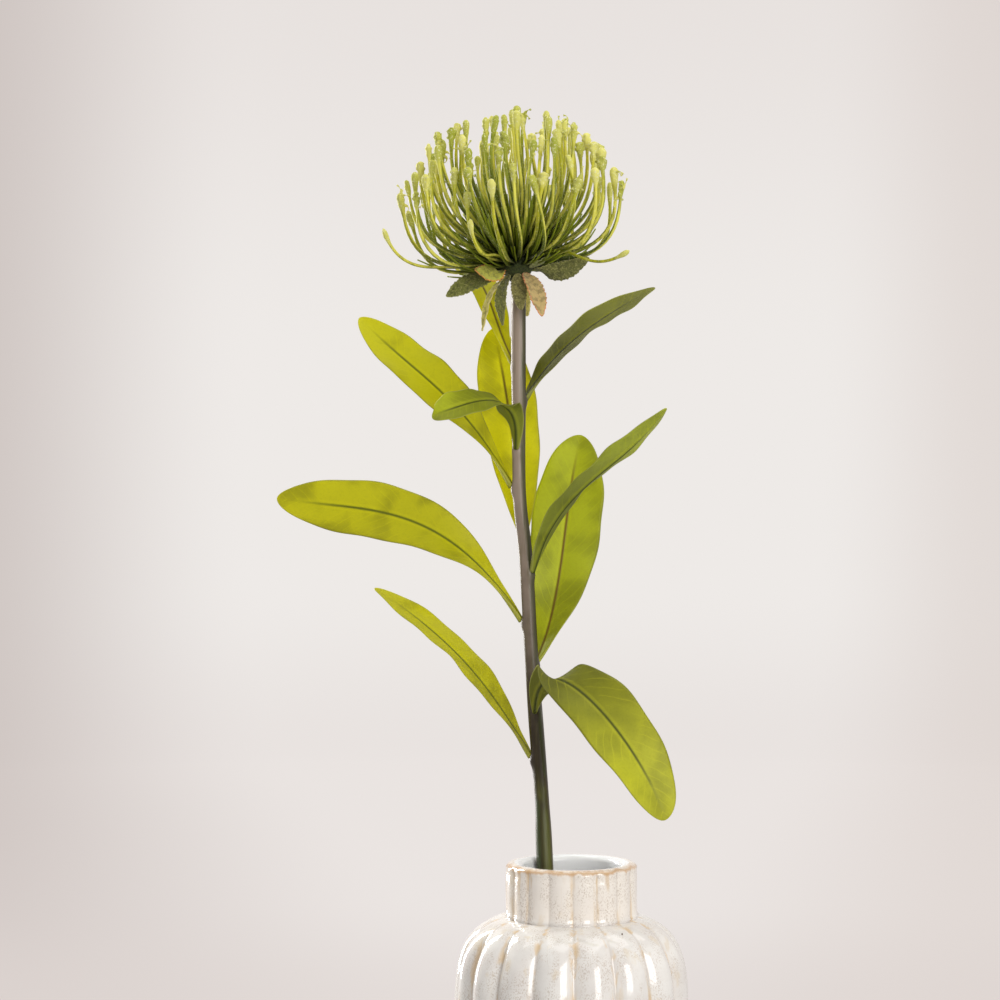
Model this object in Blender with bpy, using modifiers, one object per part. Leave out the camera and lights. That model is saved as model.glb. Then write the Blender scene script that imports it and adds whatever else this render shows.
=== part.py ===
"""A long-stemmed pincushion protea standing in a ribbed stoneware vase.

Metres, +Z up.  The origin is the middle of the vase's flat foot, and the front faces -Y.
Lists of places and sizes are in millimetres and are turned into metres where they are used.
The stem leans on the inside of the vase's rim.  It carries ten leaves and, on a round receptacle,
a whorl of felt bracts and the cushion of styles, moulded in sprigs of five.
"""
import math

import bmesh
import bpy
import numpy as np

MM = 0.001
GAP = 0.3 * MM                      # clearance between pieces that touch
COLLECTION = "protea_flower"

# Vase
VASE_HEIGHT = 200 * MM
FOOT_RADIUS = 37 * MM
BELLY_RADIUS = 58.8 * MM
BELLY_HEIGHT = 125 * MM             # where the vase is widest
SHOULDER_TOP = 174.5 * MM           # where the shoulder would close over the neck
NECK_RADIUS = 33 * MM
MOUTH_RADIUS = 24.9 * MM            # inside the rim
LIP_HEIGHT = 2.8 * MM               # of the rounded top of the neck's wall
VASE_WALL = 5 * MM
VASE_FLOOR = 8 * MM
FOOT_CHAMFER = 1.5 * MM
RIB_COUNT = 17
RIB_DEPTH = 2.8 * MM                # of the grooves on the belly
NECK_RIB_DEPTH = 0.9 * MM
VASE_STEPS = 4 * RIB_COUNT

# Stem: x, y, z and radius along its middle, from its foot to its top
STEM = (
    (-3.0, 3.0, 9.0, 3.8),
    (-8.5, 9.5, 105.0, 3.8),
    (-13.0, 15.0, 198.0, 4.3),
    (-14.4, 16.4, 229.0, 3.5),
    (-17.6, 18.2, 269.4, 3.8),
    (-20.0, 19.9, 304.8, 3.5),
    (-22.6, 22.0, 351.5, 3.4),
    (-25.8, 23.5, 384.1, 3.4),
    (-26.1, 25.6, 429.5, 3.5),
    (-26.3, 27.6, 470.0, 3.8),
)
STEM_POINTS_PER_SPAN = 4

# Flower head, measured from the middle of the receptacle
HEAD_CENTRE = np.array((-27.1, 29.0, 501.7)) * MM
HEAD_AXIS = np.array((-0.11, 0.05, 1.0)) / np.linalg.norm((-0.11, 0.05, 1.0))
RECEPTACLE_RADIUS = 9.0 * MM
RECEPTACLE_FOOT_RADIUS = 4.2 * MM
RECEPTACLE_FOOT = -8.5 * MM
RECEPTACLE_ROUND_TO = math.radians(104)   # polar angle where the ball runs into the cone below it

# Styles
STYLE_COUNT = 105
SPRIG_COUNT = 21
GOLDEN_ANGLE = math.radians(137.508)
LOWEST_STYLE = math.radians(93)           # polar angle of the last style's root
STRIP_RADIUS = 10.5 * MM                  # outside of the strips that the styles grow from
STRIP_WIDTH = 0.8 * MM
STYLE_LENGTH = 72 * MM
STYLE_EXTRA = 2 * MM                      # added to the styles of the outermost rows
STYLE_POINTS = 40                         # steps that a style's path is worked out in
STYLE_SEED = 2244

# Stray styles: heading, rise at the start, middle and end, length
STRAY_STYLES = {
    "stray_style_left": (184, 8, 6, 76, 69),
    "stray_style_right": (332, 34, -31, 20, 58),
    "stray_style_front": (246, 22, -8, 90, 55),
}
STRAY_ROOT = math.radians(99)             # polar angle of a stray style's root
STRAY_RADIUS = 0.6 * MM

# Bracts: heading, rise where they start and end, length, width, and roll about their own length;
# a heading of 270 is the front
UPPER_BRACTS = (
    (186, -10, -24, 31, 11.0, 65),
    (217, -18, 14, 19, 10.0, 70),
    (345, -28, 22, 31, 10.5, 55),
    (318, 2, 24, 13, 7.0, 0),
    (140, 0, -20, 18, 8.0, 0),
    (36, 0, 12, 20, 8.0, 0),
    (90, 0, -24, 17, 8.0, 0),
)
LOWER_BRACTS = (
    (205, -36, -74, 33, 4.5, 20),
    (230, -42, -88, 29, 7.5, 0),
    (267, -60, -87, 20, 8.0, 0),
    (299, -40, -78, 28, 10.0, 0),
    (80, -40, -86, 22, 6.0, 0),
)
UPPER_WHORL = (8.6 * MM, -3.4 * MM)       # distance of the roots from the head's axis, and height
LOWER_WHORL = (6.9 * MM, -6.0 * MM)
BRACT_THICKNESS = 0.6 * MM

# Leaves: height on the stem, heading of the stalk, the curve's two handles and its tip, the width,
# and where the upper side faces at the tip
LEAVES = (
    (387.6, 162, (-57, 31, 438), (-80, 44, 445), (-109, 54, 476), 25, (0.5, -0.85, 0.15)),
    (406.9, -109, (-24, 10, 448), (-60, -26, 423), (-69, -20, 423), 18, (-0.4, -0.8, 0.45)),
    (432.7, 36, (-6, 41, 461), (12, 58, 473), (46, 70, 493), 22.5, (-0.4, -0.45, 0.8)),
    (344.5, -47, (-6, 1, 392), (24, -10, 395), (46, -22, 426), 21, (-0.55, 0.4, 0.75)),
    (319.4, 160, (-66, 35, 384), (-105, 40, 374), (-152, 54, 382), 28, (0.45, -0.9, 0.0)),
    (250.5, 156, (-43, 28, 289), (-59, 37, 308), (-101, 50, 335), 21, (0.3, -0.4, 0.85)),
    (273.9, -93, (-17, -20, 323), (35, -42, 261), (44, -40, 226), 31, (0.2, -0.9, 0.4)),
    (298.4, 52, (-2, 40, 332), (-3, 51, 379), (7, 64, 415), 35, (0.0, -1.0, 0.1)),
    (360.5, 97, (-26, 42, 396), (-32, 49, 438), (-39, 61, 471), 28, (0.0, -1.0, 0.2)),
    (449.7, 127, (-44, 48, 486), (-39, 72, 496), (-64, 101, 513), 17, (0.35, -0.9, 0.2)),
)
LEAF_THICKNESS = 0.8 * MM
LEAF_STALK_WIDTH = 2.6 * MM
LEAF_CELLS = (14, 4)
BRACT_CELLS = (7, 2)


def clear_scene():
    """Remove the objects that a new file starts with."""
    for thing in list(bpy.data.objects):
        bpy.data.objects.remove(thing, do_unlink=True)


def new_material(name, colour, roughness):
    """Return a Principled material of the given colour and roughness."""
    material = bpy.data.materials.new(name)
    material.use_nodes = True
    material.diffuse_color = (*colour, 1.0)
    shader = material.node_tree.nodes["Principled BSDF"]
    shader.inputs["Base Color"].default_value = (*colour, 1.0)
    shader.inputs["Roughness"].default_value = roughness
    shader.inputs["Metallic"].default_value = 0.0
    return material


def new_object(name, data, material):
    """Link an object that holds data, with its own material, into the part's collection."""
    thing = bpy.data.objects.new(name, data)
    data.materials.append(material)
    bpy.data.collections[COLLECTION].objects.link(thing)
    return thing


def mesh_from(bm, name):
    """Turn a bmesh into a mesh whose faces point out, and free it."""
    bmesh.ops.recalc_face_normals(bm, faces=bm.faces)
    mesh = bpy.data.meshes.new(name)
    bm.to_mesh(mesh)
    bm.free()
    return mesh


def smoothstep(start, end, value):
    """Rise from 0 at start to 1 at end with level ends."""
    share = np.clip((value - start) / (end - start), 0.0, 1.0)
    return share * share * (3.0 - 2.0 * share)


def unit(vectors):
    """Scale vectors to a length of 1."""
    return vectors / np.linalg.norm(vectors, axis=-1, keepdims=True)


def head_frame():
    """Return the head's own X, Y and Z directions as the columns of a matrix."""
    side = unit(np.cross((0.0, 1.0, 0.0), HEAD_AXIS))
    return np.stack((side, np.cross(HEAD_AXIS, side), HEAD_AXIS), axis=1)


def head_to_world(points):
    """Move points from the head's frame into the world."""
    return HEAD_CENTRE + points @ head_frame().T


# Vase ------------------------------------------------------------------------------------------

def belly_radius(height, widest, top):
    """Outline of the body: a squarish shoulder above the widest level and a slow taper below it."""
    if height >= BELLY_HEIGHT:
        rise = (height - BELLY_HEIGHT) / (top - BELLY_HEIGHT)
        return widest * (1.0 - rise ** 3.0) ** (1.0 / 4.3)
    drop = (BELLY_HEIGHT - height) / BELLY_HEIGHT
    foot = widest - BELLY_RADIUS + FOOT_RADIUS + FOOT_CHAMFER
    return widest - (widest - foot) * drop ** 2.4


def vase_profile():
    """Return (radius, height) points from the middle of the foot, over the rim, to the inside floor."""
    points = [(0.0, 0.0), (FOOT_RADIUS - FOOT_CHAMFER, 0.0), (FOOT_RADIUS, FOOT_CHAMFER)]
    outside = np.array((6, 20, 45, 75, 105, 125, 143, 155, 163, 169, 172.5)) * MM
    points += [(belly_radius(height, BELLY_RADIUS, SHOULDER_TOP), height) for height in outside]
    lip_start = VASE_HEIGHT - LIP_HEIGHT
    points += [(NECK_RADIUS, height) for height in (174.2 * MM, 186 * MM, lip_start - 1 * MM)]
    lip_middle = 0.5 * (NECK_RADIUS + MOUTH_RADIUS)
    lip_half = 0.5 * (NECK_RADIUS - MOUTH_RADIUS)
    for angle in np.radians((25, 60, 90, 120, 155)):
        points.append((lip_middle + lip_half * math.cos(angle),
                       lip_start + LIP_HEIGHT * math.sin(angle)))
    points += [(MOUTH_RADIUS, lip_start - 1 * MM), (MOUTH_RADIUS + 1 * MM, 178 * MM)]
    inside = np.array((168.6, 163, 150, 125, 80, 30)) * MM
    points += [(belly_radius(height, BELLY_RADIUS - VASE_WALL, SHOULDER_TOP - VASE_WALL), height)
               for height in inside]
    points += [(FOOT_RADIUS - VASE_WALL, VASE_FLOOR + 3 * MM), (FOOT_RADIUS - 10 * MM, VASE_FLOOR),
               (0.0, VASE_FLOOR)]
    return points


def groove_depth(height):
    """Depth of the grooves between the ribs: shallow on the neck, deep on the belly, none at the foot."""
    if height > SHOULDER_TOP - 1 * MM:
        return NECK_RIB_DEPTH * (1.0 - smoothstep(196.5 * MM, 199.5 * MM, height))
    belly = RIB_DEPTH * (1.0 - smoothstep(155 * MM, 173 * MM, height)) + NECK_RIB_DEPTH
    return belly * smoothstep(0.0, 30 * MM, height)


def build_vase():
    """Turn the profile about the vase's axis, then press the grooves between the ribs into its outside.

    One groove faces the front.
    """
    profile = vase_profile()
    rim_index = max(range(len(profile)), key=lambda index: profile[index][1])
    bm = bmesh.new()
    outside = bm.verts.layers.int.new("outside")
    ring = [bm.verts.new((0.0, -radius, height)) for radius, height in profile]
    for index, vert in enumerate(ring):
        vert[outside] = index <= rim_index
    edges = [bm.edges.new(pair) for pair in zip(ring, ring[1:])]
    bmesh.ops.spin(bm, geom=ring + edges, cent=(0, 0, 0), axis=(0, 0, 1),
                   angle=2 * math.pi, steps=VASE_STEPS, use_duplicate=False)
    bmesh.ops.remove_doubles(bm, verts=bm.verts, dist=0.01 * MM)
    for vert in bm.verts:
        radius = math.hypot(vert.co.x, vert.co.y)
        if not vert[outside] or radius < FOOT_RADIUS * 0.9:
            continue
        across = (math.atan2(vert.co.x, -vert.co.y) * RIB_COUNT / (2 * math.pi)) % 1.0
        groove = abs(2.0 * across - 1.0) ** 2
        scale = (radius - groove_depth(vert.co.z) * groove) / radius
        vert.co.x *= scale
        vert.co.y *= scale
    vase = new_object("vase", mesh_from(bm, "vase"), new_material("vase", (0.78, 0.75, 0.70), 0.15))
    vase.data.shade_smooth()
    vase.data.set_sharp_from_angle(angle=math.radians(50))


# Stem and receptacle -----------------------------------------------------------------------------

def smooth_through(points, per_span):
    """Return a smooth row of points that passes through every given point (Catmull-Rom)."""
    points = np.asarray(points, dtype=float)
    ends = np.vstack((2 * points[0] - points[1], points, 2 * points[-1] - points[-2]))
    rows = []
    for before, start, end, after in zip(ends, ends[1:], ends[2:], ends[3:]):
        for share in np.arange(per_span) / per_span:
            rows.append(0.5 * (2 * start + (end - before) * share
                               + (2 * before - 5 * start + 4 * end - after) * share ** 2
                               + (3 * start - before - 3 * end + after) * share ** 3))
    rows.append(points[-1])
    return np.array(rows)


def stem_rows():
    """Return x, y, z and radius along the whole stem, up to just under the receptacle."""
    top = head_to_world(np.array((0.0, 0.0, RECEPTACLE_FOOT - 2 * GAP)))
    rows = np.vstack((np.array(STEM) * MM, (*top, 3.8 * MM)))
    return smooth_through(rows, STEM_POINTS_PER_SPAN)


def stem_at(height):
    """Return the stem's middle and its radius at a height."""
    rows = stem_rows()
    values = [np.interp(height, rows[:, 2], rows[:, column]) for column in range(4)]
    return np.array(values[:3]), values[3]


def build_stem():
    """Make the stem as a bevelled curve whose radius changes along it."""
    rows = stem_rows()
    curve = bpy.data.curves.new("stem", "CURVE")
    curve.dimensions = "3D"
    curve.bevel_depth = 1 * MM
    curve.bevel_resolution = 4
    curve.use_fill_caps = True
    spline = curve.splines.new("POLY")
    spline.points.add(len(rows) - 1)
    for point, (x, y, z, radius) in zip(spline.points, rows):
        point.co = (x, y, z, 1.0)
        point.radius = radius / curve.bevel_depth
    new_object("stem", curve, new_material("stem", (0.10, 0.085, 0.045), 0.55))


def build_receptacle():
    """Turn the ball that carries the styles, with a cone below it that runs down to the stem."""
    angles = np.linspace(0.0, RECEPTACLE_ROUND_TO, 10)
    profile = [(RECEPTACLE_RADIUS * math.sin(angle), RECEPTACLE_RADIUS * math.cos(angle))
               for angle in angles]
    profile += [(RECEPTACLE_FOOT_RADIUS, RECEPTACLE_FOOT), (0.0, RECEPTACLE_FOOT)]
    bm = bmesh.new()
    ring = [bm.verts.new((radius, 0.0, height)) for radius, height in profile]
    edges = [bm.edges.new(pair) for pair in zip(ring, ring[1:])]
    bmesh.ops.spin(bm, geom=ring + edges, cent=(0, 0, 0), axis=(0, 0, 1),
                   angle=2 * math.pi, steps=24, use_duplicate=False)
    bmesh.ops.remove_doubles(bm, verts=bm.verts, dist=0.01 * MM)
    for vert in bm.verts:
        vert.co = head_to_world(np.array(vert.co))
    mesh = mesh_from(bm, "receptacle")
    mesh.shade_smooth()
    new_object("receptacle", mesh, new_material("receptacle", (0.10, 0.13, 0.03), 0.8))


# Styles ------------------------------------------------------------------------------------------

def style_root(index):
    """Return the polar angle and the heading of a style's root, in a sunflower pattern."""
    lowest = 1.0 - math.cos(LOWEST_STYLE)
    polar = math.acos(1.0 - (index + 0.5) / STYLE_COUNT * lowest)
    return polar, index * GOLDEN_ANGLE


def polar_direction(polar, heading):
    """Return the unit vector at a polar angle and a heading in the head's frame."""
    return np.array((math.sin(polar) * math.cos(heading), math.sin(polar) * math.sin(heading),
                     math.cos(polar)))


def style_path(index):
    """Return evenly spaced points from a style's root to its tip, in the head's frame.

    A style leaves the receptacle square to it and bends upright along the middle of its length.
    Seeded random amounts vary the lengths, the last lean and a sideways sway.
    """
    lengthen, end_lean, sway = np.random.default_rng((STYLE_SEED, index)).normal(size=3)
    polar, heading = style_root(index)
    length = STYLE_LENGTH + STYLE_EXTRA * math.sin(polar) ** 2
    length -= 4.6 * MM * abs(lengthen) * (1.0 + smoothstep(0.8, 1.6, abs(lengthen)))
    share = (np.arange(STYLE_POINTS) + 0.5) / STYLE_POINTS
    bend = smoothstep(0.2, 0.85, share)
    end_polar = math.radians(-2.0 + 5.5 * math.sin(polar) ** 4 + 6.0 * end_lean)
    angle = polar * (1.0 - bend) + end_polar * bend
    outward = polar_direction(math.pi / 2, heading)
    sideways = polar_direction(math.pi / 2, heading + math.pi / 2)
    direction = (np.sin(angle)[:, None] * outward + np.cos(angle)[:, None] * (0.0, 0.0, 1.0)
                 + (0.13 * sway * share)[:, None] * sideways)
    moves = unit(direction) * length / STYLE_POINTS
    start = STRIP_RADIUS * polar_direction(polar, heading)
    return start + np.vstack((np.zeros(3), np.cumsum(moves, axis=0)))


def style_radius(share):
    """Return a style's half thickness: slender, a little waist, then a club-shaped end."""
    shaft = 0.6 + 0.25 * smoothstep(0.0, 0.3, share) - 0.2 * smoothstep(0.7, 0.88, share)
    club = 1.15 * np.exp(-((share - 0.945) / 0.035) ** 2)
    return (shaft + club) * MM * np.where(share > 0.999, 0.45, 1.0)


def style_shares():
    """Return how far along a style each ring of its tube lies, closer together at the club."""
    return np.array((0.16, 0.34, 0.5, 0.66, 0.86, 0.93, 0.965, 1.0))


def build_sprig(number):
    """Make one strip on the receptacle with the five styles that grow from it, as one body.

    The strip is a loft through two sections at each root.  The outer face over each root is then
    pushed out along that style's path, ring by ring.
    """
    indices = range(number, STYLE_COUNT, SPRIG_COUNT)
    roots = np.array([polar_direction(*style_root(index)) for index in indices])
    ahead = np.gradient(roots, axis=0)
    ahead = unit(ahead - (ahead * roots).sum(axis=1, keepdims=True) * roots)
    side = np.cross(roots, ahead)
    half = 0.5 * STRIP_WIDTH
    inner = RECEPTACLE_RADIUS + GAP
    bm = bmesh.new()
    sections = []
    for root, forward, across in zip(roots, ahead, side):
        for step in (-half, half):
            corners = [(inner, -half), (inner, half), (STRIP_RADIUS, half), (STRIP_RADIUS, -half)]
            sections.append([bm.verts.new(radius * root + step * forward + shift * across)
                             for radius, shift in corners])
    bm.faces.new(reversed(sections[0]))
    bm.faces.new(sections[-1])
    cells = []
    for first, second in zip(sections, sections[1:]):
        for corner in range(4):
            following = (corner + 1) % 4
            face = bm.faces.new((first[corner], first[following], second[following],
                                 second[corner]))
            if corner == 2:
                cells.append(face)
    for index, cell, across in zip(indices, cells[::2], side):
        grow_style(bm, cell, index, across)
    for vert in bm.verts:
        vert.co = head_to_world(np.array(vert.co))
    name = f"style_sprig_{number + 1:02d}"
    new_object(name, mesh_from(bm, name), new_material(name, (0.30, 0.38, 0.06), 0.55))


def grow_style(bm, cell, index, across):
    """Extrude the strip's face over one root along the style's path."""
    path = style_path(index)
    last = len(path) - 1
    for share in style_shares():
        at = share * last
        centre = np.array([np.interp(at, range(last + 1), path[:, axis]) for axis in range(3)])
        low, high = max(int(at) - 1, 0), min(int(at) + 1, last)
        along = unit(path[high] - path[low])
        flat = unit(across - np.dot(across, along) * along)
        ahead = np.cross(flat, along)
        reach = float(style_radius(share)) / math.sqrt(2.0)
        cell = bmesh.ops.extrude_discrete_faces(bm, faces=[cell])["faces"][0]
        middle = np.array(cell.calc_center_median())
        for vert in cell.verts:
            corner = np.array(vert.co) - middle
            vert.co = (centre + reach * np.sign(np.dot(corner, flat)) * flat
                       + reach * np.sign(np.dot(corner, ahead)) * ahead)


def build_stray(name, heading, rise, middle_rise, end_rise, length):
    """Make one long loose style that leaves the head low down, as a thin bevelled curve."""
    heading = math.radians(heading)
    count = 14
    share = (np.arange(count) + 0.5) / count
    angle = np.radians(rise + (middle_rise - rise) * smoothstep(0.0, 0.45, share)
                       + (end_rise - middle_rise) * smoothstep(0.45, 1.0, share))
    outward = polar_direction(math.pi / 2, heading)
    moves = np.cos(angle)[:, None] * outward + np.sin(angle)[:, None] * (0.0, 0.0, 1.0)
    start = (RECEPTACLE_RADIUS + GAP) * polar_direction(STRAY_ROOT, heading)
    points = start + np.vstack((np.zeros(3), np.cumsum(moves * length * MM / count, axis=0)))
    curve = bpy.data.curves.new(name, "CURVE")
    curve.dimensions = "3D"
    curve.bevel_depth = STRAY_RADIUS
    curve.bevel_resolution = 1
    curve.use_fill_caps = True
    spline = curve.splines.new("POLY")
    spline.points.add(count)
    for point, place in zip(spline.points, head_to_world(points)):
        point.co = (*place, 1.0)
    new_object(name, curve, new_material(name, (0.42, 0.50, 0.10), 0.5))


# Leaves and bracts -------------------------------------------------------------------------------

def build_blade(name, surface, cells, thickness, material):
    """Bend a flat grid into a blade: surface places its points, and Solidify makes it thick."""
    bm = bmesh.new()
    bmesh.ops.create_grid(bm, x_segments=cells[0], y_segments=cells[1], size=1.0)
    along = np.array([(vert.co.x + 1.0) / 2.0 for vert in bm.verts])
    across = np.array([vert.co.y for vert in bm.verts])
    for vert, place in zip(bm.verts, surface(along, across)):
        vert.co = place
    mesh = bpy.data.meshes.new(name)
    bm.to_mesh(mesh)
    bm.free()
    mesh.shade_smooth()
    blade = new_object(name, mesh, material)
    shell = blade.modifiers.new("thickness", "SOLIDIFY")
    shell.thickness = thickness
    shell.offset = 0.0


def column(values):
    """Turn a row of values into a column that scales rows of vectors."""
    return np.asarray(values)[:, None]


def leaf_surface(height, heading, handle_in, handle_out, tip, width, face):
    """Return a function that places points of one leaf.

    The midrib is a cubic curve.  The blade starts with its upper side to the stem and turns until
    it faces the way given for the tip.  Its halves fold up a little from the midrib and wave at
    their edges, and it is widest two thirds of the way along.
    """
    middle, radius = stem_at(height * MM)
    outward = polar_direction(math.pi / 2, math.radians(heading))
    base = middle + outward * (radius + GAP + 0.5 * MM)
    first, second, last = (np.array(point) * MM for point in (handle_in, handle_out, tip))

    def surface(along, across):
        t = column(along)
        spine = ((1 - t) ** 3 * base + 3 * (1 - t) ** 2 * t * first
                 + 3 * (1 - t) * t ** 2 * second + t ** 3 * last)
        forward = unit(3 * (1 - t) ** 2 * (first - base) + 6 * (1 - t) * t * (second - first)
                       + 3 * t ** 2 * (last - second))
        turn = smoothstep(0.0, 0.45, t)
        up = -outward * (1 - turn) + np.array(face) * turn
        up = unit(up - (up * forward).sum(axis=1, keepdims=True) * forward)
        side = np.cross(forward, up)
        spread = t * (1 - t) ** 0.7 / (0.588 * 0.412 ** 0.7)
        half = 0.5 * (LEAF_STALK_WIDTH * (1 - 0.7 * t) + width * MM * spread)
        lift = 0.22 * half * np.abs(column(across))
        wave = 0.07 * half * spread * np.sin(2 * math.pi * (1.6 * t + 0.13 * height)
                                              + 1.3 * column(across)) * column(across) ** 2
        return spine + side * half * column(across) + up * (lift + wave)

    return surface


def bract_surface(heading, rise, end_rise, length, width, roll, start_radius, start_height):
    """Return a function that places points of one bract: a pointed scale that bends as it goes.

    Along its first third it rolls about its own length.
    """
    heading = math.radians(heading)
    outward = polar_direction(math.pi / 2, heading)
    side = polar_direction(math.pi / 2, heading - math.pi / 2)
    start = start_radius * outward + np.array((0.0, 0.0, start_height))

    def surface(along, across):
        steps = 40
        share = (np.arange(steps) + 0.5) / steps
        angle = np.radians(rise + (end_rise - rise) * smoothstep(0.0, 0.8, share))
        reach = np.concatenate(((0.0,), np.cumsum(np.cos(angle)))) * length * MM / steps
        climb = np.concatenate(((0.0,), np.cumsum(np.sin(angle)))) * length * MM / steps
        knots = np.linspace(0.0, 1.0, steps + 1)
        spine = (start + column(np.interp(along, knots, reach)) * outward
                 + column(np.interp(along, knots, climb)) * (0.0, 0.0, 1.0))
        tilt = np.interp(along, share, angle)
        up = column(np.cos(tilt)) * (0.0, 0.0, 1.0) - column(np.sin(tilt)) * outward
        spread = np.clip(np.sin(math.pi * np.asarray(along) ** 0.85), 0.0, 1.0) ** 0.75
        half = 0.5 * MM * column(0.9 + (width - 0.9) * spread)
        lift = 0.18 * half * np.abs(column(across))
        turn = column(math.radians(roll) * smoothstep(0.0, 0.35, along))
        rolled_side = np.cos(turn) * side + np.sin(turn) * up
        rolled_up = np.cos(turn) * up - np.sin(turn) * side
        return head_to_world(spine + rolled_side * half * column(across) + rolled_up * lift)

    return surface


def build_leaves():
    """Make the ten leaves, numbered as they are listed."""
    for number, row in enumerate(LEAVES, start=1):
        name = f"leaf_{number:02d}"
        material = new_material(name, (0.30, 0.38, 0.02), 0.45)
        build_blade(name, leaf_surface(*row), LEAF_CELLS, LEAF_THICKNESS, material)


def build_bracts():
    """Make the bracts of the upper whorl and of the lower one, on the cone of the receptacle."""
    rows = [(row, UPPER_WHORL) for row in UPPER_BRACTS] + [(row, LOWER_WHORL) for row in LOWER_BRACTS]
    for number, (row, place) in enumerate(rows, start=1):
        name = f"bract_{number:02d}"
        material = new_material(name, (0.22, 0.25, 0.06), 0.85)
        build_blade(name, bract_surface(*row, *place), BRACT_CELLS, BRACT_THICKNESS, material)


def main():
    """Build the vase and everything that stands in it."""
    clear_scene()
    collection = bpy.data.collections.new(COLLECTION)
    bpy.context.scene.collection.children.link(collection)
    build_vase()
    build_stem()
    build_receptacle()
    for number in range(SPRIG_COUNT):
        build_sprig(number)
    for name, row in STRAY_STYLES.items():
        build_stray(name, *row)
    build_leaves()
    build_bracts()


main()
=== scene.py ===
"""A long-stemmed pincushion protea standing in a ribbed vase with a pearly glaze.

Metres, +Z up.  The origin is the middle of the vase's flat foot, and the front faces -Y.  Each piece
is a skin over rings of points: a profile carried round the vase's axis, round the middle of a stem
or a style, or round a leaf's midrib.  Lists of places and sizes are in millimetres.
"""
import math

import bpy
import numpy as np
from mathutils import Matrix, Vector


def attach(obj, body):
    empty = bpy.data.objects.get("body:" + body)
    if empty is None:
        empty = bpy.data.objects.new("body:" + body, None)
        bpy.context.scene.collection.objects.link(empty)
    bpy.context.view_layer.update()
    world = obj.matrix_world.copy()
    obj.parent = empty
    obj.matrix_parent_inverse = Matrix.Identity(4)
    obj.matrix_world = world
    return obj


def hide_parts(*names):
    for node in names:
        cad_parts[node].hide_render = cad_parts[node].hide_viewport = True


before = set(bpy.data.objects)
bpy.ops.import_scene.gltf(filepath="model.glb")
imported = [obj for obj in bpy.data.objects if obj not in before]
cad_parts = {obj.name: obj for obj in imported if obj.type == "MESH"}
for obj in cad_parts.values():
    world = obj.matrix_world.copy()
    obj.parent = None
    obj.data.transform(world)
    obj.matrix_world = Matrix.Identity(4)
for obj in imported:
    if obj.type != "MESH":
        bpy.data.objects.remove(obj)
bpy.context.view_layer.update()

MM = 0.001
GAP = 0.3 * MM                      # clearance between pieces that touch
UP = np.array((0.0, 0.0, 1.0))

# Vase
VASE_HEIGHT = 200 * MM
FOOT_RADIUS = 37 * MM
BELLY_RADIUS = 58.8 * MM
BELLY_HEIGHT = 125 * MM             # where the vase is widest
SHOULDER_TOP = 174.5 * MM           # where the shoulder would close over the neck
NECK_RADIUS = 33 * MM
MOUTH_RADIUS = 24.9 * MM            # inside the rim
LIP_HEIGHT = 2.8 * MM               # of the rounded top of the neck's wall
VASE_WALL = 5 * MM
VASE_FLOOR = 8 * MM
FOOT_CHAMFER = 1.5 * MM
RIB_COUNT = 17
RIB_DEPTH = 2.8 * MM                # of the grooves on the belly
NECK_RIB_DEPTH = 1.15 * MM
POINTS_PER_RIB = 20

# Stem: x, y, z and radius along its middle, from its foot to its top
STEM = (
    (-3.0, 3.0, 9.0, 3.8),
    (-8.5, 9.5, 105.0, 3.8),
    (-13.0, 15.0, 198.0, 4.3),
    (-14.4, 16.4, 229.0, 3.5),
    (-17.6, 18.2, 269.4, 3.8),
    (-20.0, 19.9, 304.8, 3.5),
    (-22.6, 22.0, 351.5, 3.4),
    (-25.8, 23.5, 384.1, 3.4),
    (-26.1, 25.6, 429.5, 3.5),
    (-26.3, 27.6, 470.0, 3.8),
)
STEM_SIDES = 40

# Flower head, measured from the middle of the receptacle
HEAD_CENTRE = np.array((-27.1, 29.0, 501.7)) * MM
HEAD_AXIS = np.array((-0.11, 0.05, 1.0)) / np.linalg.norm((-0.11, 0.05, 1.0))
RECEPTACLE_RADIUS = 9.0 * MM
RECEPTACLE_FOOT_RADIUS = 4.2 * MM
RECEPTACLE_FOOT = -8.5 * MM
RECEPTACLE_ROUND_TO = math.radians(104)   # polar angle where the ball runs into the cone below it

# Styles
STYLE_COUNT = 105
SPRIG_COUNT = 21
GOLDEN_ANGLE = math.radians(137.508)
LOWEST_STYLE = math.radians(93)           # polar angle of the last style's root
STRIP_RADIUS = 10.5 * MM                  # outside of the strips that the styles grow from
STYLE_LENGTH = 72 * MM
STYLE_EXTRA = 2 * MM                      # added to the styles of the outermost rows
STYLE_POINTS = 40                         # steps that a style's path is worked out in
STYLE_SEED = 2244
LENGTH_SPREAD = 4.6 * MM                  # how much the styles' lengths vary
LEAN_SPREAD = 6.0                         # how much their last lean varies, in degrees
SWAY_SPREAD = 0.13                        # how much they sway sideways
STYLE_SIDES = 10
WOBBLE = 0.7 * MM                         # of each style, from side to side
CLUB_WIDEST = 0.962                       # share of a style's length where its club is thickest
THREAD_COUNT = 430                        # fine threads between the feet of the styles
SCRAP_COUNT = 140                         # curled scraps at the ends of some styles
RAGGED_COUNT = 34                         # styles that the scraps are shared among

# Stray styles: heading, rise at the start, middle and end, length
STRAY_STYLES = {
    "stray_style_left": (184, 8, 6, 76, 69),
    "stray_style_right": (332, 34, -31, 20, 58),
    "stray_style_front": (246, 22, -8, 90, 55),
}
STRAY_ROOT = math.radians(99)             # polar angle of a stray style's root
STRAY_RADIUS = 0.6 * MM
STRAY_POINTS = 56                         # steps that a stray style's path is worked out in

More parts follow.
